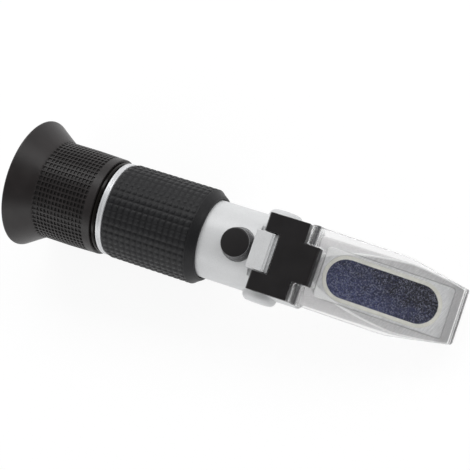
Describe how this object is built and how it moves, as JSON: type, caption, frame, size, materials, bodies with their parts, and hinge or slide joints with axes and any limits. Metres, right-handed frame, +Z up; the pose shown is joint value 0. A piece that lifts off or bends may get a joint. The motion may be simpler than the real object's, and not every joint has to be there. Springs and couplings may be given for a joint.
{
  "type": "handheld brix refractometer",
  "caption": "Pocket optical refractometer: rubber eyecup on a turning focus sleeve, gripped tube, capped calibration screw, and a clear plate on a two-pin link over a blue prism window",
  "frame": {"origin": "centre of the bounding box, at the surface that the instrument lies on", "axes": "+X towards the prism end, +Z up towards the side with the clear plate, +Y to the left when looking through the eyepiece"},
  "size_m": [0.1472, 0.0418, 0.0416],
  "materials": {
    "cup_rubber": "matt black rubber",
    "gloss_black": "glossy black",
    "black_metal": "black anodised",
    "optical_glass": "polished lens glass",
    "bright_steel": "bright steel",
    "grip_rubber": "textured charcoal rubber",
    "satin_tube": "fine blasted satin silver",
    "brass_parts": "turned brass",
    "cap_rubber": "black rubber",
    "link_plastic": "black satin plastic",
    "satin_head": "satin chrome plate on brass",
    "blue_glass": "dark blue prism face",
    "brushed_frame": "brushed",
    "cream_sealant": "off-white sealing compound",
    "clear_acrylic": "clear polished acrylic"
  },
  "bodies": {
    "instrument": {"trim_ring": "bright_steel", "rubber_grip": "grip_rubber", "main_tube": "satin_tube", "reticle_cell": "black_metal", "reticle_disc": "optical_glass", "reticle_ring": "brass_parts", "light_baffle": "black_metal", "strip_anchor": "brass_parts", "bimetal_strip": "bright_steel", "anchor_screw": "bright_steel", "hinge_lug": "satin_tube", "lug_screw_1": "bright_steel", "lug_screw_2": "bright_steel", "prism_head": "satin_head", "head_seal": "cap_rubber", "main_prism": "blue_glass", "prism_frame": "brushed_frame", "prism_sealant": "cream_sealant"},
    "lens_carriage": {"lens_barrel": "black_metal", "eye_lens": "optical_glass", "lens_spacer": "black_metal", "field_lens": "optical_glass", "lens_ring": "black_metal"},
    "focus_sleeve": {"focus_sleeve": "gloss_black", "eyecup": "cup_rubber"},
    "cap": {"screw_cap": "cap_rubber"},
    "adjuster": {"calibration_screw": "brass_parts"},
    "objective": {"objective_cell": "black_metal", "objective_lens": "optical_glass", "objective_ring": "black_metal"},
    "link": {"hinge_link": "link_plastic", "rear_hinge_pin": "bright_steel", "front_hinge_pin": "bright_steel"},
    "plate": {"daylight_plate": "clear_acrylic"}
  },
  "joints": [
    {"name": "focus_slide", "type": "slide", "parent": "instrument", "child": "lens_carriage", "axis": [0.997, 0, -0.0776], "range_m": [-0.003, 0.00038]},
    {"name": "focus_turn", "type": "hinge", "parent": "lens_carriage", "child": "focus_sleeve", "pos_m": [-0.07197, 0, 0.02085], "axis": [0.997, 0, -0.0776], "range_deg": [-45, 360]},
    {"name": "screw_turn", "type": "hinge", "parent": "instrument", "child": "adjuster", "pos_m": [0.00573, 0, 0.02684], "axis": [0.0776, 0, 0.997], "range_deg": [-270, 270]},
    {"name": "lens_shift", "type": "slide", "parent": "instrument", "child": "objective", "axis": [0.0776, 0, 0.997], "range_m": [-0.000375, 0.000375]},
    {"name": "cap_pull", "type": "slide", "parent": "instrument", "child": "cap", "axis": [0.0776, 0, 0.997], "range_m": [0, 0.008]},
    {"name": "link_hinge", "type": "hinge", "parent": "instrument", "child": "link", "pos_m": [0.01599, 0, 0.02725], "axis": [0, -1, 0], "range_deg": [0, 90]},
    {"name": "plate_hinge", "type": "hinge", "parent": "link", "child": "plate", "pos_m": [0.02835, 0, 0.02628], "axis": [0, -1, 0], "range_deg": [0, 90]}
  ],
  "couplings": [
    {"joint": "focus_turn", "follows": "focus_slide", "rad_per_m": -2094.4},
    {"joint": "screw_turn", "follows": "lens_shift", "rad_per_m": 12566}
  ]
}
